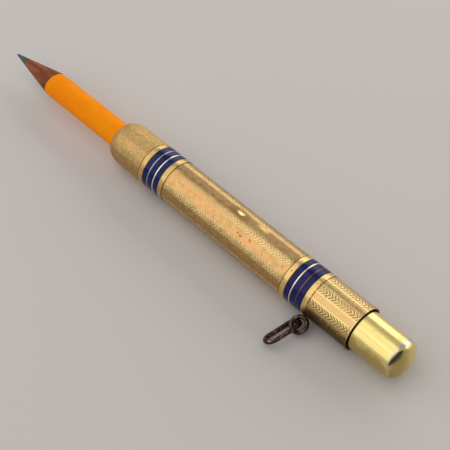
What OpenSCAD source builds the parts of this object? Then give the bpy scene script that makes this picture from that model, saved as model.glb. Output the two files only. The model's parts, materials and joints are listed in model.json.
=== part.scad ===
// Pendant drop pencil: a brass barrel with two enamel bands, a sprung three-jaw clutch that lets a
// short wooden pencil drop out of the nose, and an oval link to hang it by.
// The axis lies along X through the middle of the barrel. +X points to the button, -X to the point,
// and +Z is up, with the barrel lying on a table and the hanging eye on the -Y side.

/* [Barrel] */
// Outside diameter of the barrel
barrel_d = 12; // [11.8:0.1:12.6]
// Length of the barrel from the nose opening to the rear rim
barrel_l = 84; // [80:0.5:92]
// Thickness of the barrel's wall
barrel_wall = 0.45; // [0.4:0.01:0.5]
// Length of the rounded nose along the axis
nose_l = 4.4; // [3.5:0.1:6]
// Gap between the pencil and the edge of the nose opening
nose_gap = 0.2; // [0.1:0.05:0.4]

/* [Enamel bands] */
// Distance of each band's middle from its end of the barrel
band_inset = 17; // [14:0.5:19]
// Width of one enamel ring
enamel_w = 1.68; // [1.2:0.02:1.9]
// Width of the metal line left between two enamel rings
gold_line_w = 0.33; // [0.2:0.01:0.5]
// Depth of the groove that holds the enamel
enamel_depth = 0.2; // [0.1:0.01:0.25]
// Width of the plain border beside a band
border_w = 1.4; // [1:0.1:2]
// Width of the engraved line that closes a border
border_line_w = 0.25; // [0.15:0.05:0.4]
// Depth of that line
border_line_depth = 0.12; // [0.05:0.01:0.2]
// Depth of the engine turned sections below the plain borders
turned_depth = 0.08; // [0.04:0.01:0.1]
// Width of the plain border at the rear rim
rim_border_w = 0.6; // [0.4:0.1:1]

/* [Button] */
// Diameter of the button cap at the barrel's rim
button_d = 10.5; // [10.3:0.1:10.7]
// Diameter of the button cap where its dome starts
button_end_d = 10.4; // [10:0.1:10.4]
// How far the button cap stands out of the barrel
button_out = 14; // [13:0.1:15]
// Length of the cap's dome along the axis
dome_l = 2.8; // [2.2:0.1:3.6]
// Thickness of the cap's wall
cap_wall = 0.5; // [0.4:0.05:0.6]
// How far the cap reaches into the barrel
cap_in = 4; // [3.5:0.5:6]
// Travel of the button when it is pressed
press_travel = 3; // [2:0.25:3]
// Gap between the clutch tube and the disc that stops the pencil
disc_room = 0.4; // [0.2:0.1:0.8]
// Thickness of that disc
disc_t = 1.5; // [1:0.1:2]

/* [Pencil] */
// Outside diameter of the lacquered pencil
pencil_d = 7; // [6.8:0.05:7.1]
// Length of the pencil from its point to its rear end
pencil_l = 88.4; // [86:0.2:90]
// How far the point stands out of the nose
pencil_out = 43.9; // [42:0.1:44.4]
// Length of the sharpened cone
cone_l = 16.5; // [12:0.5:22]
// Diameter of the worn point
point_d = 0.5; // [0.2:0.05:0.8]
// Diameter of the lead
lead_d = 2.4; // [1.8:0.1:2.8]
// Thickness of the lacquer coat
lacquer_t = 0.1; // [0.08:0.01:0.15]

/* [Ferrule] */
// Thickness of the ferrule's wall round the pencil
ferrule_wall = 0.2; // [0.15:0.01:0.22]
// Length of pencil held in the ferrule
ferrule_grip = 4; // [3:0.5:6]
// Thickness of the ferrule's closed end
ferrule_end = 0.8; // [0.5:0.1:1]

/* [Clutch] */
// Thickness of the clutch tube's wall
tube_wall = 0.4; // [0.3:0.05:0.45]
// Gap between sliding round faces
slide_gap = 0.05; // [0.03:0.01:0.08]
// Gap between the ferrule and its stop when the pencil is right out
stop_gap = 0.05; // [0.02:0.01:0.1]
// Gap between soldered, glued or fused faces
seat_gap = 0.01; // [0.005:0.005:0.02]
// Length of the rolled bead that stops the ferrule
bead_l = 0.6; // [0.4:0.1:1]
// Length of tube between the bead and the jaws' leaves
bead_to_leaf = 1.4; // [1:0.1:2]
// Length of each jaw's spring leaf
leaf_l = 15; // [13:0.5:17]
// Thickness of each leaf
leaf_t = 0.3; // [0.2:0.05:0.35]
// Width of each leaf as an angle round the axis
leaf_angle = 56; // [40:2:80]
// Gap between a leaf's root and the clutch tube
leaf_gap = 0.1; // [0.05:0.05:0.2]
// Length of each jaw's gripping head
jaw_l = 6; // [5:0.5:7]
// Angle of one jaw round the axis
jaw_angle = 110; // [100:1:112]
// Half angle of the jaws' cone and of the closing ring
cone_half_angle = 15; // [12:1:18]
// Bevel on the front edge of each jaw
jaw_chamfer = 0.6; // [0.3:0.1:0.8]
// Length of the closing ring
closing_ring_l = 3; // [2.5:0.1:3.5]
// Length of the straight bore at the rear of the closing ring
closing_bore_l = 1.2; // [0.8:0.1:1.4]
// Radial room round the leaves in the closing ring's bore
closing_room = 0.4; // [0.35:0.05:0.5]

/* [Spring and guides] */
// Wire diameter of the return spring
spring_wire = 0.5; // [0.4:0.05:0.55]
// Number of turns of the return spring
spring_turns = 11; // [8:1:12]
// Room between the spring and the barrel's bore
spring_room = 0.45; // [0.35:0.05:0.5]
// Length of the spring collar
collar_l = 1; // [0.8:0.1:1.5]
// Distance of the collar behind the clutch tube's front end
collar_inset = 2; // [1:0.5:4]
// Room between the collar and the barrel's bore
collar_room = 0.25; // [0.2:0.05:0.35]
// Length of the rear guide bush
bush_l = 5; // [4:0.5:6]
// Room between the guide bush and the pressed button cap
bush_room = 2; // [1:0.5:4]
// Length of the ring that joins the clutch tube to the button cap
button_ring_l = 3; // [2:0.5:3]
// Depth of that ring in the cap
button_ring_depth = 0.5; // [0.25:0.25:0.5]
// Length of clutch tube behind the button ring
tube_tail = 6; // [4:0.5:6.5]

/* [Eye and link] */
// Wire diameter of the eye
eye_wire = 1.1; // [1:0.05:1.15]
// Inside diameter of the eye
eye_hole = 2.8; // [2.7:0.1:3]
// Angle of the eye below the horizontal
eye_angle = 26; // [25.5:0.5:26.5]
// Distance of the eye's middle from the rear rim
eye_inset = 12.8; // [9:0.1:13.4]
// Diameter of the solder foot under the eye
foot_d = 1.7; // [1.4:0.1:2]
// Wire diameter of the link
link_wire = 1.15; // [1.05:0.05:1.2]
// Outside length of the link
link_l = 10.8; // [10.6:0.1:11]
// Outside width of the link
link_w = 4.9; // [4.8:0.1:5.1]
// How far the link leans up from the table
link_tilt = 35; // [33:1:37]
// How far the link is turned from square to the barrel
link_yaw = 7.5; // [6:0.5:9]
// How far the link's middle lies in front of the eye's
link_forward = 1.65; // [1.5:0.05:1.75]
// How far the link's middle lies outside the eye's outer wire
link_outward = 2.05; // [2:0.05:2.2]

/* [Hidden] */
$fn = 96;

// Steps of a round end, and how far a cut runs past the face that it starts from
end_steps = 12;
cut_over = 1;

// Barrel
barrel_r = barrel_d / 2;
bore_r = barrel_r - barrel_wall;
nose_x = -barrel_l / 2;
rim_x = barrel_l / 2;
pencil_r = pencil_d / 2;
nose_hole_r = pencil_r + nose_gap;

// Enamel bands
band_w = 3 * enamel_w + 2 * gold_line_w;
enamel_pitch = enamel_w + gold_line_w;
enamel_r = barrel_r - enamel_depth;
border_line_r = barrel_r - border_line_depth;
band_offset = barrel_l / 2 - band_inset;
border_line_offset = band_w / 2 + border_w + border_line_w / 2;
turned_r = barrel_r - turned_depth;
plain_half = border_line_offset + border_line_w / 2;

// Pencil
point_x = nose_x - pencil_out;
pencil_end_x = point_x + pencil_l;
wood_r = pencil_r - lacquer_t;
lead_r = lead_d / 2;
point_r = point_d / 2;
ferrule_r = pencil_r + ferrule_wall;
ferrule_x = pencil_end_x - ferrule_grip;

// Clutch
tube_in_r = ferrule_r + slide_gap;
tube_r = tube_in_r + tube_wall;
bead_x = ferrule_x - stop_gap;
grip_r = pencil_r + slide_gap;
tube_front_x = bead_x - bead_l - bead_to_leaf;
leaf_root_x = tube_front_x - leaf_gap;
leaf_front_x = leaf_root_x - leaf_l;
jaw_front_x = leaf_front_x - jaw_l;
leaf_in_r = tube_in_r;
leaf_r = leaf_in_r + leaf_t;
leaf_in_jaw = jaw_l / 2;
closing_bore_r = leaf_r + closing_room;
closing_x = leaf_front_x + closing_bore_l;
closing_front_x = closing_x - closing_ring_l;
cone_run = closing_ring_l - closing_bore_l;
jaw_r = closing_bore_r - slide_gap + cone_run * tan(cone_half_angle);

// Button cap
cap_front_x = rim_x - cap_in;
cap_end_x = rim_x + button_out;
dome_x = cap_end_x - dome_l;
button_r = button_d / 2;
button_end_r = button_end_d / 2;
button_ring_x = cap_front_x + button_ring_depth;
tube_rear_x = button_ring_x + button_ring_l + tube_tail;
bush_rear_x = cap_front_x - press_travel - bush_room;

// Return spring
collar_x = tube_front_x + collar_inset;
spring_r = bore_r - spring_room - spring_wire / 2;
spring_x = closing_x + seat_gap;
spring_pitch = (collar_x - spring_x - spring_wire - seat_gap) / spring_turns;
spring_rings_per_turn = 8;
spring_sides = 6;

// Eye and link
eye_x = rim_x - eye_inset;
eye_r = (eye_hole + eye_wire) / 2;
eye_centre_r = barrel_r + eye_wire / 2 + eye_r;
eye_limb_y = -(eye_centre_r + eye_r) * cos(eye_angle);
foot_sink = 0.5;
foot_rise = 0.6;
link_bend_r = (link_w - link_wire) / 2;
link_straight = link_l - link_w;
link_z = -barrel_r + link_wire / 2 + link_bend_r * sin(link_tilt);
link_centre = [eye_x - link_forward, eye_limb_y - link_outward, link_z];

// Turns a profile of [radius, distance along the axis] points about the X axis, over an angle
// whose middle points up
module turned(profile, angle = 360) {
    rotate([0, 90, 0])
        rotate([0, 0, 180 - angle / 2])
            rotate_extrude(angle = angle)
                polygon(profile);
}

// Points of a round end: a quarter ellipse from [r, x] to [r - drop, x + run]
function round_end(r, x, drop, run) =
    [for (a = [0 : 90 / end_steps : 90]) [r - drop * (1 - cos(a)), x + run * sin(a)]];

// The same list from its last point to its first
function reversed(points) = [for (i = [len(points) - 1 : -1 : 0]) points[i]];

// A plain ring about the X axis
module ring(x, length, inner, outer) {
    turned([[inner, x], [outer, x], [outer, x + length], [inner, x + length]]);
}

// Distance along the axis at which the sharpened cone reaches a radius
function cone_x(r) = point_x + cone_l * (r - point_r) / (pencil_r - point_r);

// Start of enamel ring i, counted from the front of a band
function enamel_x(side, i) = side * band_offset - band_w / 2 + i * enamel_pitch;

// Brass tube with a round nose. Its engine turned sections lie a little lower than the plain borders
// beside the bands and at the rim, and grooves take the enamel and the engraved border lines
module barrel() {
    outer = concat(
        [[barrel_r, rim_x], [barrel_r, rim_x - rim_border_w], [turned_r, rim_x - rim_border_w]],
        plain_step(1), plain_step(-1), reversed(nose_curve(turned_r, 0))
    );
    inner = concat(nose_curve(bore_r, barrel_wall), [[bore_r, rim_x]]);
    color("goldenrod")
        difference() {
            turned(concat(outer, inner));
            for (side = [-1, 1]) {
                for (i = [0 : 2])
                    ring(enamel_x(side, i), enamel_w, enamel_r, barrel_r + cut_over);
                for (edge = [-1, 1])
                    ring(
                        side * band_offset + edge * border_line_offset - border_line_w / 2,
                        border_line_w, border_line_r, barrel_r + cut_over
                    );
            }
        }
}

// Outline of the plain part round a band, from its rear edge forwards
function plain_step(side) = [
    [turned_r, side * band_offset + plain_half], [barrel_r, side * band_offset + plain_half],
    [barrel_r, side * band_offset - plain_half], [turned_r, side * band_offset - plain_half]
];

// Outline of the nose at a depth below its outer face, from the opening backwards
function nose_curve(r, depth) =
    [for (p = reversed(round_end(r, 0, r - nose_hole_r, nose_l - depth))) [p[0], nose_x + nose_l - p[1]]];

// One ring of blue glass fused into its groove
module enamel_ring(side, i) {
    color("midnightblue")
        ring(enamel_x(side, i) + seat_gap, enamel_w - 2 * seat_gap, enamel_r + seat_gap, barrel_r);
}

// Wire ring soldered to the barrel, standing along it
module hanging_eye() {
    color("saddlebrown")
        difference() {
            translate([eye_x, 0, 0])
                rotate([eye_angle, 0, 0]) {
                    translate([0, -eye_centre_r, 0])
                        rotate_extrude()
                            translate([eye_r, 0])
                                circle(d = eye_wire, $fn = 32);
                    translate([0, -barrel_r + foot_sink, 0])
                        rotate([90, 0, 0])
                            cylinder(h = foot_sink + eye_wire * foot_rise, d = foot_d, $fn = 32);
                }
            rotate([0, 90, 0])
                cylinder(h = barrel_l, r = barrel_r + seat_gap, center = true);
        }
}

// Oval wire link through the eye, lying on the table on one of its long sides
module hanging_link() {
    color("saddlebrown")
        translate(link_centre)
            rotate([0, -link_tilt, -link_yaw]) {
                for (end = [-1, 1])
                    translate([0, end * link_straight / 2, 0])
                        rotate([0, 0, end > 0 ? 0 : 180])
                            rotate_extrude(angle = 180)
                                translate([link_bend_r, 0])
                                    circle(d = link_wire, $fn = 32);
                for (side = [-1, 1])
                    translate([side * link_bend_r, link_straight / 2, 0])
                        rotate([90, 0, 0])
                            cylinder(h = link_straight, d = link_wire, $fn = 32);
            }
}

// Turned ring in the barrel whose cone presses the jaws together
module closing_ring() {
    outer = bore_r - seat_gap;
    color("darkgoldenrod")
        turned([
            [closing_bore_r, closing_x], [outer, closing_x], [outer, closing_front_x],
            [closing_bore_r + cone_run * tan(cone_half_angle), closing_front_x],
            [closing_bore_r, closing_front_x + cone_run]
        ]);
}

// Bush in the rear of the barrel that guides the clutch tube
module rear_guide_bush() {
    color("darkgoldenrod")
        ring(bush_rear_x - bush_l, bush_l, tube_r + slide_gap, bore_r - seat_gap);
}

// Tube that carries the jaws in front and the button behind, with a rolled bead that stops the ferrule
module clutch_tube() {
    color("darkgoldenrod")
        turned([
            [tube_in_r, tube_front_x], [tube_r, tube_front_x], [tube_r, tube_rear_x],
            [tube_in_r, tube_rear_x], [tube_in_r, bead_x], [grip_r, bead_x],
            [grip_r, bead_x - bead_l], [tube_in_r, bead_x - bead_l]
        ]);
}

// Collar on the clutch tube that the return spring pushes back
module spring_collar() {
    color("darkgoldenrod")
        ring(collar_x, collar_l, tube_r + seat_gap, bore_r - collar_room);
}

// Ring soldered between the clutch tube and the button cap
module button_ring() {
    color("darkgoldenrod")
        ring(button_ring_x, button_ring_l, tube_r + seat_gap, button_r - cap_wall - seat_gap);
}

// Outline of the button cap at a depth below its outer face, from its open end to the axis
function cap_curve(depth) = concat(
    [[button_r - depth, cap_front_x], [button_r - depth, rim_x]],
    round_end(button_end_r - depth, dome_x, button_end_r - depth, dome_l - depth)
);

// Polished cap that is pressed, tapered and domed
module button_cap() {
    color("gold")
        turned(concat(cap_curve(0), reversed(cap_curve(cap_wall))));
}

// Points of the spring's wire: ring j of spring_sides points round a helix that winds along the axis
function spring_point(j, k) =
    let (
        turn = 360 * j / spring_rings_per_turn,
        around = 360 * k / spring_sides,
        r = spring_r + spring_wire / 2 * cos(around),
        x = spring_x + spring_wire / 2 + spring_pitch * j / spring_rings_per_turn
    )
    [x + spring_wire / 2 * sin(around), r * cos(turn), r * sin(turn)];

// Coil spring between the closing ring and the collar
module return_spring() {
    rings = spring_turns * spring_rings_per_turn;
    points = [for (j = [0 : rings]) for (k = [0 : spring_sides - 1]) spring_point(j, k)];
    sides = [
        for (j = [0 : rings - 1])
            for (k = [0 : spring_sides - 1])
                let (
                    a = j * spring_sides + k,
                    b = j * spring_sides + (k + 1) % spring_sides
                )
                each [[a, b, a + spring_sides], [b, b + spring_sides, a + spring_sides]]
    ];
    front = [for (k = [1 : spring_sides - 2]) [0, k + 1, k]];
    last = rings * spring_sides;
    rear = [for (k = [1 : spring_sides - 2]) [last, last + k, last + k + 1]];
    echo(spring_gap = min([
        for (j = [0 : rings - spring_rings_per_turn])
            for (k = [0 : spring_sides - 1])
                for (m = [0 : spring_sides - 1])
                    norm(spring_point(j, k) - spring_point(j + spring_rings_per_turn, m))
    ]));
    color("silver")
        polyhedron(points, concat(sides, front, rear));
}

// Disc soldered into the cap, which stops the pencil when it is put away
module stop_disc() {
    color("darkgoldenrod")
        ring(tube_rear_x + disc_room, disc_t, 0, button_end_r - cap_wall - seat_gap);
}

// One jaw with the spring leaf that carries it
module clutch_jaw(k) {
    cone_foot_r = closing_bore_r - slide_gap;
    color("peru")
        rotate([k * 120, 0, 0]) {
            turned([
                [grip_r, leaf_front_x], [cone_foot_r, leaf_front_x], [jaw_r, leaf_front_x - cone_run],
                [jaw_r, jaw_front_x + jaw_chamfer], [jaw_r - jaw_chamfer, jaw_front_x],
                [grip_r, jaw_front_x]
            ], jaw_angle);
            turned([
                [leaf_in_r, leaf_front_x - leaf_in_jaw], [leaf_r, leaf_front_x - leaf_in_jaw],
                [leaf_r, leaf_root_x], [leaf_in_r, leaf_root_x]
            ], leaf_angle);
        }
}

// Orange coat of the pencil, cut off by the sharpener
module pencil_lacquer() {
    inner = wood_r + seat_gap;
    color("orange")
        turned([
            [inner, cone_x(inner)], [pencil_r, cone_x(pencil_r)],
            [pencil_r, pencil_end_x], [inner, pencil_end_x]
        ]);
}

// One of the two glued cedar slats, with half of the lead's groove
module pencil_slat() {
    groove = lead_r + seat_gap;
    color("sienna")
        turned([
            [groove, cone_x(groove)], [wood_r, cone_x(wood_r)],
            [wood_r, pencil_end_x], [groove, pencil_end_x]
        ], 180);
}

module pencil_wood_upper() {
    pencil_slat();
}

module pencil_wood_lower() {
    rotate([180, 0, 0])
        pencil_slat();
}

// Graphite lead with its worn point
module pencil_lead() {
    color("dimgray")
        turned([
            [0, point_x], [point_r, point_x], [lead_r, cone_x(lead_r)],
            [lead_r, pencil_end_x], [0, pencil_end_x]
        ]);
}

// Brass cup on the pencil's rear end, which stops it from dropping out
module pencil_ferrule() {
    inner = pencil_r + seat_gap;
    floor_x = pencil_end_x + seat_gap;
    color("darkgoldenrod")
        turned([
            [inner, ferrule_x], [ferrule_r, ferrule_x], [ferrule_r, floor_x + ferrule_end],
            [0, floor_x + ferrule_end], [0, floor_x], [inner, floor_x]
        ]);
}

barrel();
for (i = [0 : 2]) {
    enamel_ring(-1, i);
    enamel_ring(1, i);
    clutch_jaw(i);
}
hanging_eye();
hanging_link();
closing_ring();
rear_guide_bush();
return_spring();
clutch_tube();
spring_collar();
button_ring();
button_cap();
stop_disc();
pencil_lacquer();
pencil_wood_upper();
pencil_wood_lower();
pencil_lead();
pencil_ferrule();
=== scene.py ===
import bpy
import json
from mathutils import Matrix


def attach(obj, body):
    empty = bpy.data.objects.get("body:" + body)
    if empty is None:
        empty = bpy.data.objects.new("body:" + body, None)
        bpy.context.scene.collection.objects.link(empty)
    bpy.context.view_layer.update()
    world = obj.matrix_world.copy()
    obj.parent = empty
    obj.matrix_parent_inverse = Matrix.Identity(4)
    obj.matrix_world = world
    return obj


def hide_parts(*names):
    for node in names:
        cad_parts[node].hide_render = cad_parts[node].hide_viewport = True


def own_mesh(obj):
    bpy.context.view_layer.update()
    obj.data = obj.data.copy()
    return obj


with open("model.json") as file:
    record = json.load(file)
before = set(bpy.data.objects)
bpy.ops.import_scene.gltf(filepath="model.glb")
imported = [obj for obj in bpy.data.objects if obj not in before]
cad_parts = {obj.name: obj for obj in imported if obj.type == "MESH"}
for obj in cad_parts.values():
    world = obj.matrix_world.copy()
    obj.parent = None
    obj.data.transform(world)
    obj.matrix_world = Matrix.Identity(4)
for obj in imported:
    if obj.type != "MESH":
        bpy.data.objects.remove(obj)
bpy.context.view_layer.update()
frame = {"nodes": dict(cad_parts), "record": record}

import json
import math
from math import radians

import bmesh
import bpy
from mathutils import Matrix, Vector

# Barrel: a drawn brass tube with its nose spun in to a round shoulder. Engine turned strips of
# chevrons run along it between plain polished borders, and use has worn, dented and coppered them.
MM = 0.001
NOSE_X, RIM_X = -42.0, 42.0
BARREL_R, TURNED_R, BORE_R, NOSE_HOLE_R = 6.0, 5.92, 5.55, 3.7
NOSE_L, NOSE_STEPS, WALL = 4.4, 12, 0.45
BAND_X, RING_PITCH, RING_W, GROOVE_R = 25.0, 2.01, 1.68, 5.8
PLAIN_HALF, LINE_W, LINE_R, RIM_BORDER = 4.5, 0.25, 5.88, 0.6
MERGE_GAP, SHARP_ANGLE = 1e-7, radians(40)


def paint(red, green, blue):
    """A screen colour, 0 to 255, as the linear colour that a shader takes."""
    shares = [c / 255 for c in (red, green, blue)]
    return tuple(c / 12.92 if c < 0.04045 else ((c + 0.055) / 1.055) ** 2.4 for c in shares) + (1.0,)


class Value:
    """A node's output. Sums with it add Math nodes."""

    def __init__(self, finish, output):
        self.finish, self.output = finish, output

    def maths(self, operation, *others):
        return self.finish.maths(operation, self, *others)

    def __add__(self, other):
        return self.maths("ADD", other)

    def __sub__(self, other):
        return self.maths("SUBTRACT", other)

    def __rsub__(self, other):
        return self.finish.maths("SUBTRACT", other, self)

    def __mul__(self, other):
        return self.maths("MULTIPLY", other)

    def __truediv__(self, other):
        return self.maths("DIVIDE", other)

    def __abs__(self):
        return self.maths("ABSOLUTE")

    __radd__ = __add__
    __rmul__ = __mul__

    def squared(self):
        return self * self

    def zigzag(self):
        """0.5 at each whole number, and 0 half way between two."""
        return abs(self.maths("FRACT") - 0.5)

    def rise(self, low, high):
        """0 below low, 1 above high, and a soft step between."""
        soft = {"interpolation_type": "SMOOTHSTEP"}
        return self.finish.node("ShaderNodeMapRange", soft, {0: self, 1: low, 2: high})

    def fall(self, low, high):
        """1 below low, 0 above high, and a soft step between."""
        return 1 - self.rise(low, high)

    def near(self, middle, inside, outside):
        """1 closer to the middle than inside, 0 further from it than outside."""
        return abs(self - middle).fall(inside, outside)

    def coated(self, share, over):
        """This colour with a share of another laid over it."""
        return self.finish.blend(share, self, over)


class Finish:
    """A material. Every node of it comes from node()."""

    def __init__(self, name):
        self.material = bpy.data.materials.new(name)
        self.material.use_nodes = True
        self.tree = self.material.node_tree
        self.tree.nodes.clear()
        metres = self.node("ShaderNodeTexCoord", out="Object")
        self.place = self.node("ShaderNodeVectorMath", {"operation": "SCALE"}, {0: metres, "Scale": 1 / MM})

    def node(self, kind, settings=None, sockets=None, out=0):
        made = self.tree.nodes.new(kind)
        for key, value in (settings or {}).items():
            setattr(made, key, value)
        for key, value in (sockets or {}).items():
            if isinstance(value, Value):
                self.tree.links.new(value.output, made.inputs[key])
            else:
                made.inputs[key].default_value = value
        return Value(self, made.outputs[out]) if made.outputs else None

    def maths(self, operation, *values):
        return self.node("ShaderNodeMath", {"operation": operation}, dict(enumerate(values)))

    def along(self, axis):
        """Distance along X, Y or Z in millimetres."""
        return self.node("ShaderNodeSeparateXYZ", sockets={0: self.place}, out=axis)

    def stretched(self, x, y, z):
        """The place with its three directions scaled."""
        return self.node("ShaderNodeVectorMath", {"operation": "MULTIPLY"}, {0: self.place, 1: (x, y, z)})

    def noise(self, scale, detail=3.0, rough=0.5, place=None):
        sockets = {"Vector": place or self.place, "Scale": scale, "Detail": detail, "Roughness": rough}
        return self.node("ShaderNodeTexNoise", sockets=sockets)

    def dots(self, scale):
        """Distance from the nearest of many scattered points."""
        return self.node("ShaderNodeTexVoronoi", sockets={"Vector": self.place, "Scale": scale})

    def blend(self, share, under, over):
        """Two colours mixed. A colour Mix has them in its sockets 6 and 7."""
        return self.node("ShaderNodeMix", {"data_type": "RGBA"}, {0: share, 6: under, 7: over}, out=2)

    def bump(self, height, depth):
        """Height 0 to 1 as a surface depth in millimetres."""
        sockets = {"Height": height, "Distance": depth * MM, "Strength": 1.0}
        return self.node("ShaderNodeBump", sockets=sockets)

    def done(self, **sockets):
        """Ends the material with a Principled shader and returns it."""
        named = {key.replace("_", " "): value for key, value in sockets.items()}
        shader = self.node("ShaderNodeBsdfPrincipled", sockets=named)
        self.node("ShaderNodeOutputMaterial", sockets={"Surface": shader})
        return self.material


def settled(name, bm, material, body, slot, *nodes):
    """Makes a finished mesh an object that rides on a body and stands for CAD nodes."""
    bmesh.ops.remove_doubles(bm, verts=bm.verts, dist=MERGE_GAP)
    bmesh.ops.recalc_face_normals(bm, faces=bm.faces)
    mesh = bpy.data.meshes.new(name)
    bm.to_mesh(mesh)
    bm.free()
    mesh.shade_smooth()
    mesh.set_sharp_from_angle(angle=SHARP_ANGLE)
    mesh.materials.append(material)
    piece = bpy.data.objects.new(name, mesh)
    bpy.context.collection.objects.link(piece)
    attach(piece, body)
    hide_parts(*nodes)
    return piece


def section(points, rounding, closed=True, run=None, sides=160, angle=360.0):
    """Turns a half section of [x, radius] points in millimetres about the X axis. Its corners are
    rounded, and runs longer than run are divided."""
    bm = bmesh.new()
    corners = [bm.verts.new((x * MM, 0, r * MM)) for x, r in points]
    for a, b in zip(corners, corners[1:] + corners[:1] if closed else corners[1:]):
        bm.edges.new((a, b))
    if rounding:
        inner = corners if closed else corners[1:-1]
        bmesh.ops.bevel(bm, geom=inner, offset=rounding * MM, offset_type="OFFSET", segments=2, profile=0.5,
                        affect="VERTICES", material=-1, clamp_overlap=True)
    for edge in list(bm.edges) if run else []:
        cuts = int(edge.calc_length() / (run * MM))
        if cuts:
            bmesh.ops.subdivide_edges(bm, edges=[edge], cuts=cuts)
    bmesh.ops.spin(bm, geom=bm.verts[:] + bm.edges[:], cent=(0, 0, 0), axis=(1, 0, 0), dvec=(0, 0, 0),
                   angle=radians(angle), steps=sides, use_merge=angle == 360.0)
    return bm


def nose_curve(r, depth):
    """Half section of the nose from its opening back to the straight tube."""
    quarter = [radians(90 - 90 * i / NOSE_STEPS) for i in range(NOSE_STEPS + 1)]
    return [(NOSE_X + NOSE_L - (NOSE_L - depth) * math.sin(a), r - (r - NOSE_HOLE_R) * (1 - math.cos(a)))
            for a in quarter]


def band_section(middle):
    """Half section of a band's plain borders, border lines and enamel grooves, from front to rear."""
    half = [(PLAIN_HALF, TURNED_R), (PLAIN_HALF, LINE_R), (PLAIN_HALF - LINE_W, LINE_R),
            (PLAIN_HALF - LINE_W, BARREL_R)]
    points = [(middle - x, r) for x, r in half]
    for i in (-1, 0, 1):
        front, rear = middle + i * RING_PITCH - RING_W / 2, middle + i * RING_PITCH + RING_W / 2
        points += [(front, BARREL_R), (front, GROOVE_R), (rear, GROOVE_R), (rear, BARREL_R)]
    return points + [(middle + x, r) for x, r in reversed(half)]


barrel_points = nose_curve(TURNED_R, 0) + band_section(-BAND_X) + band_section(BAND_X)
barrel_points += [(RIM_X - RIM_BORDER, TURNED_R), (RIM_X - RIM_BORDER, BARREL_R), (RIM_X, BARREL_R),
                  (RIM_X, BORE_R)]
barrel_points += list(reversed(nose_curve(BORE_R, WALL)))
barrel = section(barrel_points, rounding=0.05, run=0.55, sides=192)

# Dents: distance along the barrel, angle round it from the top towards the eye, radius and depth.
# They are only in the outer skin
DENTS = ((1.1, -13, 1.0, 0.18), (4.5, 8, 0.9, 0.05), (-12, 48, 1.4, 0.06), (33.5, 30, 0.8, 0.05),
         (-34, 20, 1.2, 0.05), (13, 100, 1.3, 0.08), (-8, 190, 1.5, 0.08), (36, -120, 1.2, 0.07))
SKIN_R = 5.7
for dent_x, dent_turn, dent_r, dent_depth in DENTS:
    aside, up = math.sin(radians(dent_turn)), math.cos(radians(dent_turn))
    middle = Vector((dent_x, -BARREL_R * aside, BARREL_R * up)) * MM
    for vert in barrel.verts:
        reach = (vert.co - middle).length / (dent_r * MM)
        if reach < 2 and math.hypot(vert.co.y, vert.co.z) > SKIN_R * MM:
            outwards = Vector((0, vert.co.y, vert.co.z)).normalized()
            vert.co -= outwards * dent_depth * MM * math.exp(-2 * reach * reach)

turned_brass = Finish("engine_turned_brass")
x, y, z = [turned_brass.along(axis) for axis in "XYZ"]
turn = turned_brass.maths("ARCTAN2", 0 - y, z)
radius = (y * y + z * z).maths("SQRT")
worn = turned_brass.noise(0.22, 4.0, 0.6)
mottle = turned_brass.noise(0.9, 3.0, 0.6)
grain = turned_brass.noise(2.8, 3.0, 0.65)
frost = turned_brass.noise(2.2, 2.0, 0.7)
scratch = turned_brass.noise(1.0, 3.0, 0.6, turned_brass.stretched(0.35, 4.5, 4.5))
blotch, grit = mottle - 0.5, grain - 0.5

# Parts of the barrel: behind the rear band, ahead of the front one, its front half, the bands' plain
# borders with their lines, and the spun nose
behind, ahead, forward = x.rise(28.0, 30.0), x.fall(-30.0, -28.0), x.fall(-1, 1)
from_band = abs(abs(x) - BAND_X)
plain = from_band.fall(PLAIN_HALF - 0.04, PLAIN_HALF + 0.04)
line = from_band.near(PLAIN_HALF - LINE_W / 2, LINE_W * 0.4, LINE_W * 0.7)
spun = x.fall(NOSE_X + 1.0, NOSE_X + NOSE_L)

# Nine chevron strips round the barrel, crisp behind the rear band and worn down in front of it, with
# panels of faint slanting strokes between them
STRIP_PITCH, STRIP_START, CHEVRON_PITCH, STROKE_PITCH = radians(40), radians(4.5), 0.95, 0.6
across = ((turn + STRIP_START) / STRIP_PITCH).zigzag()
strip = (across + grit * 0.06).fall(0.17, 0.22)
chevron = ((x / CHEVRON_PITCH + across * 5.0 + grit * 0.4).zigzag() * 2).rise(0.2, 0.7)
oblique = (x / STROKE_PITCH + across * 6.7).zigzag() * 2
cut = (1 - plain) * (1 - spun) * (0.6 + behind * 0.4 - ahead * 0.45) * (1 - worn.rise(0.5, 0.68) * 0.75)
rub = turned_brass.noise(0.7, 3.0, 0.6).rise(0.4, 0.62) * (1 - behind)
faded = turn.fall(radians(28), radians(36)) * turn.rise(radians(-10), radians(0))
faded = (faded * x.fall(-8, 12) * 0.8).maths("MAXIMUM", rub * 0.7)
cut = cut * (1 - faded)
relief = cut * (strip * chevron + (1 - strip) * oblique * 0.15)
# Painted highlights: lighter slanting strokes in the panels, and glitter on the strips along one side
strokes = (oblique + grit * 0.9).rise(0.55, 0.95) * (1 - strip) * cut
painted_glitter = (grain + chevron * 0.2).rise(0.4, 0.75) * turn.rise(radians(-8), radians(2))
painted_glitter = strip * painted_glitter * (1 - faded) * (1 - behind) * (1 - ahead) * (1 - plain)
# Behind the rear band, a polished line runs along each side of a strip, painted bright as a painted highlight
ridge_highlight = across.near(0.27, 0.02, 0.05) * behind
pits = turned_brass.dots(0.5).fall(0.05, 0.1)
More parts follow.
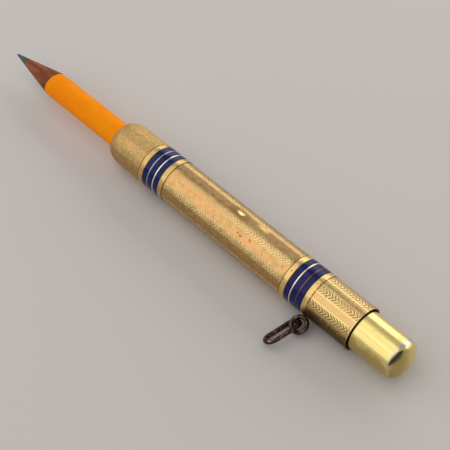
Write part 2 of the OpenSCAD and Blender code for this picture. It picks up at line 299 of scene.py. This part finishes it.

# Handling has coppered the panel along the top. The next one is painted brown, partly tarnish and partly a
# painted dark reflection, but for a rubbed place. The panel below is painted darker as painted shade
COPPER_TURN, BROWN_TURN, RUBBED_X = radians(32), radians(-6), 8.3
patch = turned_brass.noise(0.3, 3.0, 0.55, turned_brass.stretched(0.7, 1.0, 1.0))
stripe = (abs(turn - COPPER_TURN) + blotch * 0.3).fall(radians(9), radians(22))
stripe = stripe * (1 - behind * 0.6) * (1 - ahead) * (0.6 + worn.rise(0.4, 0.6) * 0.4)
copper = (patch.rise(0.48, 0.62) * 0.45 + stripe * 0.55) * (1 - plain)
brown = abs(turn - BROWN_TURN + blotch * 0.16).fall(radians(10), radians(16))
brown = brown * (0.35 + 0.65 * turn.fall(radians(-12), radians(-2)))
brown = brown * (1 - x.near(RUBBED_X, 0.8, 2.4)) * (1 - behind * 0.7) * (1 - ahead) * (1 - plain)
# Painted shade: the panel below, facing the shaded floor, is painted darker
below = (turn + grit * 0.12).rise(radians(60), radians(67)) * turn.fall(radians(95), radians(150))
colour = turned_brass.blend(mottle.rise(0.35, 0.7), paint(184, 150, 92), paint(212, 178, 116))
colour = colour.coated(behind * 0.5 + ahead * 0.35, paint(226, 194, 132))
colour = colour.coated(copper * 0.8, paint(230, 168, 112))
colour = colour.coated(brown * 0.8, paint(132, 100, 72))
colour = colour.coated(below * (1 - plain) * 0.3, paint(126, 84, 42))
colour = colour.coated(grain.rise(0.55, 0.75) * (1 - plain) * 0.45, paint(150, 108, 56))
colour = colour.coated(frost.rise(0.52, 0.66) * ahead * (1 - plain) * 0.5, paint(150, 118, 72))

# The borders are polished. Of the two brass lines in each band, the one nearer the middle of the
# barrel is kept bright, and dirt fills the border lines
inner = from_band.fall(1.2, 1.3)
bright_line = turned_brass.blend(forward, paint(244, 222, 200), paint(232, 232, 220))
dim_line = turned_brass.blend(forward, paint(108, 84, 96), paint(160, 162, 172))
colour = colour.coated(plain * (0.7 - forward * 0.4), paint(238, 202, 126))
colour = colour.coated(inner, bright_line)
colour = colour.coated(inner * abs(x).rise(BAND_X - 0.1, BAND_X + 0.1), dim_line)
colour = colour.coated(line * 0.8, paint(112, 68, 36))

# The cut edges of the engine turning are painted light as painted highlights, and its hollows are painted dark
colour = colour.coated(strokes * 0.45, paint(250, 214, 148))
colour = colour.coated(painted_glitter * 0.7, paint(250, 222, 164))
colour = colour.coated(cut * strip * (chevron + grit).rise(0.3, 0.8) * 0.75, paint(252, 226, 158))
colour = colour.coated(cut * strip * (1 - chevron) * (0.3 + behind * 0.3), paint(96, 64, 28))
colour = colour.coated(ridge_highlight * 0.55, paint(255, 232, 156))
colour = colour.coated(pits * 0.7, paint(70, 46, 24))

# One knock in the middle is painted bright, a painted highlight, with a brown ring of painted shade round it.
# Dark specks lie beside it
KNOCK_X, KNOCK_TURN = 1.1, radians(-10)
SPECKS = ((4.2, 35), (5.1, 37), (5.5, 36), (7.9, 31), (8.3, 33))
knock = (x - KNOCK_X).squared() * 0.3 + (turn - KNOCK_TURN).squared() * 40 + grit * 0.8
colour = colour.coated(knock.fall(1.2, 4.5) * knock.rise(0.2, 0.7) * 0.5, paint(140, 98, 50))
colour = colour.coated(knock.fall(0.05, 0.6) * 0.9, paint(250, 230, 146))
for speck_x, speck_turn in SPECKS:
    away = (turn - radians(speck_turn)) * BARREL_R
    speck = ((x - speck_x).squared() + away.squared()).fall(0.02, 0.09)
    colour = colour.coated(speck * 0.7, paint(104, 62, 30))

# A rubbed edge at the rim. Round the solder of the eye, dirt with painted shade; along the lower side behind
# the rear band, tarnish with a painted dark reflection; and painted shade on the rim's end face in the gap at
# the rim
ROOT_X, ROOT_TURN = 31.6, radians(104)
root = (x - ROOT_X).squared() / 2.4 + (turn - ROOT_TURN).squared() * 26
rim_gap_shade = x.rise(RIM_X - 0.06, RIM_X - 0.02) * radius.fall(5.86, 5.92)
under = behind * (turn + blotch * 0.5).rise(radians(60), radians(84)) * (1 - plain)
dirt_and_shade = (root + blotch * 5).fall(2.0, 10.0) * 0.92
dirt_and_shade = dirt_and_shade.maths("MAXIMUM", rim_gap_shade * 0.9).maths("MAXIMUM", under * 0.84)
colour = colour.coated(x.rise(RIM_X - 0.3, RIM_X - 0.2), paint(238, 200, 150))
colour = colour.coated(dirt_and_shade, paint(58, 36, 18))
rough = 0.25 + strip * 0.1 + blotch * 0.2 + grit * 0.24 + ahead * 0.28 + brown * 0.16 + dirt_and_shade * 0.2
marks = grit * 0.5 + (frost - 0.5) * ahead * 1.6 + (scratch - 0.5) * 0.35
height = relief + blotch * 0.5 + marks * (1 - plain * 0.7) - pits * 0.8
brass_finish = turned_brass.done(Base_Color=colour, Metallic=1.0, Roughness=rough,
                                 Normal=turned_brass.bump(height, 0.055))
settled("barrel_tube", barrel, brass_finish, "barrel", "engine_turned_brass", "barrel")

# Enamel rings: blue glass powder fired into six turned grooves and ground back. Each ring is
# slightly crowned, pulled down at its edges, with small bubbles and clouds in the glass.
SEAT, CROWN, CROWN_STEPS = 0.01, 0.05, 8
glass = Finish("blue_enamel")
cloud = glass.noise(0.55, 3.0, 0.6)
bubble = glass.noise(3.2, 2.0, 0.6)
colour = glass.blend(cloud.rise(0.38, 0.66), paint(13, 15, 66), paint(22, 30, 98))
colour = colour.coated(bubble.rise(0.62, 0.75) * 0.5, paint(26, 60, 104))
colour = colour.coated(bubble.fall(0.24, 0.36) * 0.6, paint(8, 7, 34))
enamel_finish = glass.done(Base_Color=colour, Roughness=0.12 + cloud * 0.16, Specular_IOR_Level=0.22,
                           Normal=glass.bump(cloud * 0.7 + bubble * 0.3, 0.03))
for side, first in ((-1, "front"), (1, "rear")):
    for i in range(3):
        middle = side * BAND_X + (i - 1) * RING_PITCH
        low, high = middle - RING_W / 2 + SEAT, middle + RING_W / 2 - SEAT
        crown = [(low + (high - low) * k / CROWN_STEPS, BARREL_R - CROWN * (2 * k / CROWN_STEPS - 1) ** 4)
                 for k in range(CROWN_STEPS + 1)]
        ring = section(crown + [(high, GROOVE_R + SEAT), (low, GROOVE_R + SEAT)], rounding=0)
        name = f"{first}_enamel_ring_{i + 1}"
        settled(f"{name}_glass", ring, enamel_finish, "barrel", "blue_enamel", name)

# Closing ring, guide bush, clutch tube, collar, button ring, stop disc and jaws: turned from brass
# bar and tube, with fine tool marks round them, and soldered or sprung inside the barrel.
bar_brass = Finish("plain_brass")
around = bar_brass.noise(1.0, 3.0, 0.6, bar_brass.stretched(9.0, 0.4, 0.4))
stain = bar_brass.noise(0.5, 3.0, 0.6)
colour = bar_brass.blend(stain.rise(0.35, 0.7), paint(196, 158, 86), paint(170, 126, 66))
bar_finish = bar_brass.done(Base_Color=colour, Metallic=1.0,
                            Roughness=0.26 + around * 0.16 + (stain - 0.5) * 0.12,
                            Normal=bar_brass.bump(around * 0.6 + stain * 0.4, 0.012))


def refinished(name, material):
    """Gives a CAD node, whose shape is right, a better material."""
    for slot in frame["nodes"][name].material_slots:
        slot.material = material


for name in ("closing_ring", "rear_guide_bush", "clutch_tube", "spring_collar", "button_ring", "stop_disc",
             "clutch_jaw_1", "clutch_jaw_2", "clutch_jaw_3"):
    refinished(name, bar_finish)

# Return spring: eleven turns of drawn steel wire between the closing ring and the collar. It draws the clutch
# back. In the pencil it shortens as the button is pressed; here it is built at its rest length.
SPRING_FRONT, SPRING_REAR, SPRING_WIRE, SPRING_R = -17.44, -1.56, 0.5, 4.85
SPRING_TURNS, SPRING_STEPS, SPRING_SIDES = 11, 32, 10
spring_pitch = (SPRING_REAR - SPRING_FRONT - SPRING_WIRE) / SPRING_TURNS
steel = Finish("spring_steel")
drawn = steel.noise(2.0, 3.0, 0.6)
colour = steel.blend(drawn.rise(0.35, 0.7), paint(150, 150, 152), paint(112, 110, 108))
steel_finish = steel.done(Base_Color=colour, Metallic=1.0, Roughness=0.28 + drawn * 0.16,
                          Normal=steel.bump(drawn, 0.01))
spring = bmesh.new()
start = Matrix.Translation(Vector((SPRING_FRONT + SPRING_WIRE / 2, SPRING_R, 0)) * MM)
bmesh.ops.create_circle(spring, cap_ends=False, segments=SPRING_SIDES, radius=SPRING_WIRE / 2 * MM,
                        matrix=start)
bmesh.ops.spin(spring, geom=spring.verts[:] + spring.edges[:], cent=(0, 0, 0), axis=(1, 0, 0),
               dvec=(spring_pitch / SPRING_STEPS * MM, 0, 0), angle=2 * math.pi * SPRING_TURNS,
               steps=SPRING_STEPS * SPRING_TURNS)
bmesh.ops.holes_fill(spring, edges=[e for e in spring.edges if e.is_boundary], sides=0)
spring_piece = settled("return_spring_coil", spring, steel_finish, "barrel", "spring_steel", "return_spring")
button = next(j for j in frame["record"]["behaviour"]["joints"] if j["name"] == "button_press")
PRESS = button["range_m"][1] / MM
1 - PRESS / (SPRING_REAR - SPRING_FRONT)
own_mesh(spring_piece)

# Button cap: spun brass, slightly tapered, closed by a shallow dome with a tight round shoulder, and
# soldered on the button ring. It is the part that fingers polish, with fine marks along it.
CAP_FRONT, DOME_X, CAP_END, CAP_R, CAP_END_R, CAP_WALL = 38.0, 53.2, 56.0, 5.25, 5.2, 0.5
DOME_STEPS = 15


def cap_curve(depth):
    """Half section of the cap's face, or of its inside at a depth, from its open end to the axis."""
    quarter = [radians(90 * i / DOME_STEPS) for i in range(DOME_STEPS + 1)]
    dome = [(DOME_X + (CAP_END - DOME_X - depth) * math.sin(a), (CAP_END_R - depth) * math.cos(a))
            for a in quarter]
    return [(CAP_FRONT, CAP_R - depth), (RIM_X, CAP_R - depth)] + dome


cap = section(cap_curve(0) + list(reversed(cap_curve(CAP_WALL))), rounding=0, run=1.2)
polished = Finish("polished_brass")
x, y, z = [polished.along(axis) for axis in "XYZ"]
turn = polished.maths("ARCTAN2", 0 - y, z)
streak = polished.noise(1.0, 3.0, 0.6, polished.stretched(0.05, 2.4, 2.4))
haze = polished.noise(0.35, 3.0, 0.5)
uneven = haze - 0.5
nick = polished.dots(0.45).fall(0.03, 0.07)
colour = polished.blend(streak.rise(0.3, 0.75), paint(250, 230, 154), paint(234, 204, 122))
colour = colour.coated(haze.rise(0.55, 0.75) * 0.35, paint(216, 178, 96))
# The lower side is painted darker as a painted reflection of the shaded floor, and the face of the dome as a
# painted dark reflection. The shoulder has a painted white highlight in a line, and in a patch on the upper
# side. A dark leaf-shaped painted reflection lies behind the line, and a painted shadow where the cap leaves
# the rim
WHITE_LINE_X, WHITE_PATCH_X, LEAF_X = 53.15, 53.35, 53.9
shaded_low_side = (turn + uneven * 0.6).rise(radians(58), radians(74)) * turn.fall(radians(100), radians(150))
shaded_low_side = shaded_low_side * x.fall(53.2, 54.4)
dome_face = x.rise(53.6, 54.5) * (z * 0.26 - y * 0.97 + uneven * 2).rise(-1.6, 3.0)
# Painted highlight: a white line and patch on the shoulder
white_line = x.near(WHITE_LINE_X, 0.1, 0.25) * turn.near(radians(14), radians(56), radians(72))
white_patch = x.near(WHITE_PATCH_X, 0.35, 0.75) * turn.near(radians(-20), radians(12), radians(30))
painted_highlight = (white_line * 0.8).maths("MAXIMUM", white_patch)
# Painted reflection: a dark leaf-shaped patch behind the white line
leaf = (turn - radians(34)) / radians(30)
leaf_width = (0.98 * (1 - leaf.squared())).maths("MAXIMUM", 0.01)
leaf_reflection = abs(x - LEAF_X + leaf * 0.28).fall(leaf_width * 0.15, leaf_width * 1.1)
# Painted shadow: a dark line on the cap just outside the rim
rim_shadow = (x + uneven * 0.2).fall(RIM_X + 0.2, RIM_X + 0.5)
colour = colour.coated(shaded_low_side * 0.5, paint(150, 112, 50))
colour = colour.coated(dome_face * 0.6, paint(140, 116, 66))
colour = colour.coated(painted_highlight * 0.9, paint(206, 205, 200))
colour = colour.coated(leaf_reflection * 0.92, paint(46, 50, 44))
colour = colour.coated(rim_shadow * 0.85, paint(52, 30, 14))
cap_finish = polished.done(Base_Color=colour, Metallic=1.0,
                           Roughness=0.2 + haze * 0.12 + (streak - 0.5) * 0.12 - painted_highlight * 0.06,
                           Normal=polished.bump(streak * 0.4 + haze * 0.6 - nick * 0.6, 0.03))
settled("button_cap_shell", cap, cap_finish, "clutch", "polished_brass", "button_cap")

# Pencil wood: two cedar slats glued round the lead and cut to a cone by a sharpener, which leaves
# fine ridges round it and open grain along it.
POINT_X, CONE_L, PENCIL_R, POINT_R, LEAD_R, WOOD_R = -85.9, 16.5, 3.5, 0.25, 1.2, 3.4
PENCIL_END = 2.5


def cone_x(r):
    """Where the sharpened cone has a radius."""
    return POINT_X + CONE_L * (r - POINT_R) / (PENCIL_R - POINT_R)


cedar = Finish("cedar")
fibre = cedar.noise(1.0, 4.0, 0.65, cedar.stretched(0.12, 3.2, 3.2))
ring_grain = cedar.noise(1.0, 2.0, 0.5, cedar.stretched(0.05, 0.9, 0.5))
shaving = cedar.noise(1.0, 2.0, 0.6, cedar.stretched(4.0, 0.5, 0.5))
colour = cedar.blend(ring_grain.rise(0.35, 0.65), paint(118, 62, 38), paint(150, 90, 58))
colour = colour.coated(fibre.rise(0.55, 0.72) * 0.7, paint(86, 43, 26))
colour = colour.coated(shaving.rise(0.55, 0.75) * 0.35, paint(172, 110, 74))
cedar_finish = cedar.done(Base_Color=colour, Roughness=0.66 + fibre * 0.2, Specular_IOR_Level=0.2,
                          Normal=cedar.bump(fibre * 0.6 + shaving * 0.5, 0.06))
slat_points = [(cone_x(LEAD_R + SEAT), LEAD_R + SEAT), (cone_x(WOOD_R), WOOD_R), (PENCIL_END, WOOD_R),
               (PENCIL_END, LEAD_R + SEAT)]
for name, top in (("pencil_wood_upper", True), ("pencil_wood_lower", False)):
    slat = section(slat_points, rounding=0, run=1.5, sides=64, angle=180.0)
    bmesh.ops.rotate(slat, verts=slat.verts, cent=(0, 0, 0),
                     matrix=Matrix.Rotation(radians(-90 if top else 90), 3, "X"))
    bmesh.ops.translate(slat, verts=slat.verts, vec=(0, 0, (SEAT if top else -SEAT) * MM))
    bmesh.ops.remove_doubles(slat, verts=slat.verts, dist=MERGE_GAP)
    bmesh.ops.holes_fill(slat, edges=[e for e in slat.edges if e.is_boundary], sides=0)
    settled(f"{name}_slat", slat, cedar_finish, "pencil", "cedar", name)

# Pencil lacquer: a thin orange coat rolled on in layers. The sharpener cuts it off in a slightly
# uneven line, and the nose has rubbed faint lines along it.
coat = section([(cone_x(WOOD_R + SEAT), WOOD_R + SEAT), (cone_x(PENCIL_R), PENCIL_R), (PENCIL_END, PENCIL_R),
                (PENCIL_END, WOOD_R + SEAT)], rounding=0.02, run=1.5)
CUT_ZONE = 0.6
for vert in coat.verts:
    if vert.co.x < (cone_x(PENCIL_R) + CUT_ZONE) * MM:
        turn_at = math.atan2(vert.co.y, vert.co.z)
        vert.co.x += MM * (0.28 + 0.32 * math.cos(turn_at - 1.06) + 0.05 * math.sin(2 * turn_at + 0.6)
                           + 0.03 * math.sin(5 * turn_at) + 0.02 * math.sin(11 * turn_at))
lacquer = Finish("orange_lacquer")
rubbing = lacquer.noise(1.0, 3.0, 0.6, lacquer.stretched(0.05, 3.0, 3.0))
wave = lacquer.noise(0.25, 2.0, 0.5)
colour = lacquer.blend(wave.rise(0.35, 0.7), paint(255, 142, 0), paint(255, 152, 4))
colour = colour.coated(rubbing.rise(0.62, 0.78) * 0.35, paint(232, 118, 0))
lacquer_finish = lacquer.done(Base_Color=colour, Roughness=0.42 + rubbing * 0.2, Specular_IOR_Level=0.06,
                              Normal=lacquer.bump(wave * 0.8 + rubbing * 0.25, 0.03))
settled("pencil_lacquer_coat", coat, lacquer_finish, "pencil", "orange_lacquer", "pencil_lacquer")

# Pencil lead: a rod of baked graphite and clay, glued between the slats. It is sharpened with the
# wood, which leaves marks round it, and writing has rubbed its point blunt.
lead = section([(POINT_X, 0), (POINT_X + 0.05, POINT_R * 0.8), (POINT_X + 0.25, POINT_R + 0.03),
                (cone_x(LEAD_R), LEAD_R), (PENCIL_END, LEAD_R), (PENCIL_END, 0)], rounding=0, closed=False,
               run=0.8, sides=64)
graphite = Finish("graphite")
shaved = graphite.noise(1.0, 3.0, 0.6, graphite.stretched(7.0, 1.2, 1.2))
powder = graphite.noise(4.0, 2.0, 0.6)
colour = graphite.blend(shaved.rise(0.35, 0.7), paint(66, 70, 70), paint(98, 102, 102))
lead_finish = graphite.done(Base_Color=colour, Metallic=0.35, Roughness=0.36 + powder * 0.2,
                            Normal=graphite.bump(shaved * 0.6 + powder * 0.4, 0.03))
settled("pencil_lead_core", lead, lead_finish, "pencil", "graphite", "pencil_lead")

# Pencil ferrule: a brass cup pressed on the pencil's rear end. A bead rolled in the clutch tube
# catches its front edge, so that the pencil can't drop out.
refinished("pencil_ferrule", bar_finish)

# Hanging eye: a wire ring soldered upright along the barrel, with the solder drawn up round its foot. Eye and
# link have gone dark brown, with lighter spots painted on, partly wear and partly painted highlights, and the
# eye is painted darker near the barrel as painted shade.
EYE_X, EYE_TURN, EYE_R, EYE_WIRE, EYE_CENTRE = 29.2, 26.0, 1.95, 1.1, 8.5
FOOT = ((0, 2.48), (0.95, 2.48), (0.85, 2.36), (0.68, 2.2), (0.55, 1.9), (0.42, 1.7), (0, 1.7))
old_brass = Finish("tarnished_brass")
crust = old_brass.noise(1.0, 3.0, 0.55)
# Painted highlights, partly wear: lighter spots laid on by this noise
wear_and_sheen = old_brass.noise(0.5, 2.0, 0.5)
y, z = old_brass.along("Y"), old_brass.along("Z")
# Painted shade: the eye is darker where it comes near the barrel
shade_near_barrel = (y * y + z * z).maths("SQRT").fall(9.6, 11.4)
colour = old_brass.blend(crust.rise(0.4, 0.62), paint(68, 48, 41), paint(122, 96, 84))
colour = colour.coated(wear_and_sheen.rise(0.54, 0.72) * 0.5, paint(186, 150, 132))
colour = colour.coated(shade_near_barrel * 0.55, paint(52, 40, 32))
old_finish = old_brass.done(Base_Color=colour, Metallic=0.9, Roughness=0.18 + crust * 0.16,
                            Normal=old_brass.bump(crust * 0.5 + wear_and_sheen * 0.5, 0.03))
WIRE_SIDES = 20
eye = bmesh.new()
bmesh.ops.create_circle(eye, cap_ends=False, segments=WIRE_SIDES, radius=EYE_WIRE / 2 * MM,
                        matrix=Matrix.Translation((EYE_R * MM, 0, 0)) @ Matrix.Rotation(radians(90), 4, "X"))
bmesh.ops.spin(eye, geom=eye.verts[:] + eye.edges[:], cent=(0, 0, 0), axis=(0, 0, 1), dvec=(0, 0, 0),
               angle=2 * math.pi, steps=64, use_merge=True)
# The solder fillet is a flared foot round the ring's root, drawn in a half section and spun
foot = [eye.verts.new((r * MM, h * MM, 0)) for r, h in FOOT]
foot_edges = [eye.edges.new(pair) for pair in zip(foot, foot[1:])]
bmesh.ops.spin(eye, geom=foot + foot_edges, cent=(0, 0, 0), axis=(0, 1, 0), dvec=(0, 0, 0),
               angle=2 * math.pi, steps=40, use_merge=True)
bmesh.ops.transform(eye, verts=eye.verts, matrix=Matrix.Rotation(radians(EYE_TURN), 4, "X")
                    @ Matrix.Translation(Vector((EYE_X, -EYE_CENTRE, 0)) * MM))
eye_piece = settled("hanging_eye_wire", eye, old_finish, "barrel", "tarnished_brass", "hanging_eye")
joined = eye_piece.modifiers.new("solder", "REMESH")
joined.mode, joined.voxel_size, joined.use_smooth_shade = "VOXEL", 0.07 * MM, True
drawn_up = eye_piece.modifiers.new("fillet", "SMOOTH")
drawn_up.factor, drawn_up.iterations = 0.5, 6

# Hanging link: an oval of slightly thicker brass wire, bent round two pins and closed with a butt
# joint on one long side. It hangs loose in the eye, and here it lies on the floor.
LINK_AT, LINK_TILT, LINK_YAW = Vector((27.55, -11.442, -4.35)), -35.0, -7.5
LINK_BEND, LINK_HALF, LINK_WIRE, JOINT_GAP = 1.875, 2.95, 1.15, 0.03
link = bmesh.new()
bmesh.ops.create_circle(link, cap_ends=False, segments=WIRE_SIDES, radius=LINK_WIRE / 2 * MM,
                        matrix=Matrix.Translation(Vector((-LINK_BEND, JOINT_GAP, 0)) * MM)
                        @ Matrix.Rotation(radians(90), 4, "X"))


def drawn_on(edges, vec):
    """Carries the wire's end straight on and returns its new end."""
    made = bmesh.ops.extrude_edge_only(link, edges=edges)["geom"]
    verts = [g for g in made if isinstance(g, bmesh.types.BMVert)]
    bmesh.ops.translate(link, verts=verts, vec=Vector(vec) * MM)
    return [g for g in made if isinstance(g, bmesh.types.BMEdge) and g.is_boundary]


def bent_round(edges, middle):
    """Bends the wire half a turn about a point and returns its new end."""
    verts = list({v for e in edges for v in e.verts})
    made = bmesh.ops.spin(link, geom=verts + edges, cent=Vector((0, middle, 0)) * MM, axis=(0, 0, -1),
                          dvec=(0, 0, 0), angle=math.pi, steps=24)["geom_last"]
    return [g for g in made if isinstance(g, bmesh.types.BMEdge)]


end = drawn_on(link.edges[:], (0, LINK_HALF - JOINT_GAP, 0))
end = bent_round(end, LINK_HALF)
end = drawn_on(end, (0, -2 * LINK_HALF, 0))
end = bent_round(end, -LINK_HALF)
drawn_on(end, (0, LINK_HALF - JOINT_GAP, 0))
bmesh.ops.remove_doubles(link, verts=link.verts, dist=MERGE_GAP)
bmesh.ops.holes_fill(link, edges=[e for e in link.edges if e.is_boundary], sides=0)
bmesh.ops.transform(link, verts=link.verts, matrix=Matrix.Translation(LINK_AT * MM)
                    @ Matrix.Rotation(radians(LINK_YAW), 4, "Z") @ Matrix.Rotation(radians(LINK_TILT), 4, "Y"))
settled("hanging_link_wire", link, old_finish, "link", "tarnished_brass", "hanging_link")

# Studio: a pale floor under the barrel, a wide soft lamp above the left, and a window light low on
# the far side that throws the shadow to the front.
FLOOR_Z, FLOOR_HALF = -6.005, 3.0
floor = bmesh.new()
bmesh.ops.create_grid(floor, x_segments=1, y_segments=1, size=FLOOR_HALF,
                      matrix=Matrix.Translation((0, 0, FLOOR_Z * MM)))
floor_mesh = bpy.data.meshes.new("floor")
floor.to_mesh(floor_mesh)
floor.free()
floor_mesh.materials.append(Finish("pale_floor").done(Base_Color=paint(204, 198, 194), Roughness=0.85))
floor_piece = bpy.data.objects.new("floor", floor_mesh)
bpy.context.collection.objects.link(floor_piece)


def soft_lamp(name, place, width, length, radiance, colour):
    """A rectangular lamp that faces the object, by how bright its face looks."""
    lamp = bpy.data.lights.new(name, "AREA")
    lamp.shape, lamp.size, lamp.size_y = "RECTANGLE", width, length
    lamp.energy = radiance * math.pi * width * length
    lamp.color = colour
    lamp_object = bpy.data.objects.new(name, lamp)
    facing = Vector(place).to_track_quat("Z", "Y").to_matrix().to_4x4()
    lamp_object.matrix_world = Matrix.Translation(place) @ facing
    bpy.context.collection.objects.link(lamp_object)


soft_lamp("overhead_lamp", place=(-0.25, -0.26, 0.47), width=0.95, length=0.95, radiance=0.82,
          colour=(1.0, 0.97, 0.92))
soft_lamp("window_lamp", place=(0.0, 0.535, 0.235), width=1.2, length=0.42, radiance=1.35,
          colour=(1.0, 0.98, 0.95))
world = bpy.data.worlds.new("room")
world.use_nodes = True
room_light = world.node_tree.nodes["Background"].inputs
room_light["Color"].default_value, room_light["Strength"].default_value = (0.95, 0.97, 1.0, 1.0), 0.43
bpy.context.scene.world = world
bpy.context.scene.view_settings.view_transform = "Standard"

# Camera: a long lens that looks down on the barrel from the cap's end and the eye's side. Its place
# and turn come from fitting the bands, the rim, the pencil's cone and the outlines.
camera = bpy.data.cameras.new("camera")
camera.lens, camera.sensor_width, camera.clip_start = 100.63, 36.0, 0.01
camera_object = bpy.data.objects.new("camera", camera)
camera_place = Matrix.Translation((0.136742, -0.136233, 0.242951))
right, up, back = (0.69808, 0.71602, -0.00178), (-0.55886, 0.5464, 0.6238), (0.44762, -0.43446, 0.78159)
camera_object.matrix_world = camera_place @ Matrix((right, up, back)).transposed().to_4x4()
bpy.context.collection.objects.link(camera_object)
bpy.context.scene.camera = camera_object
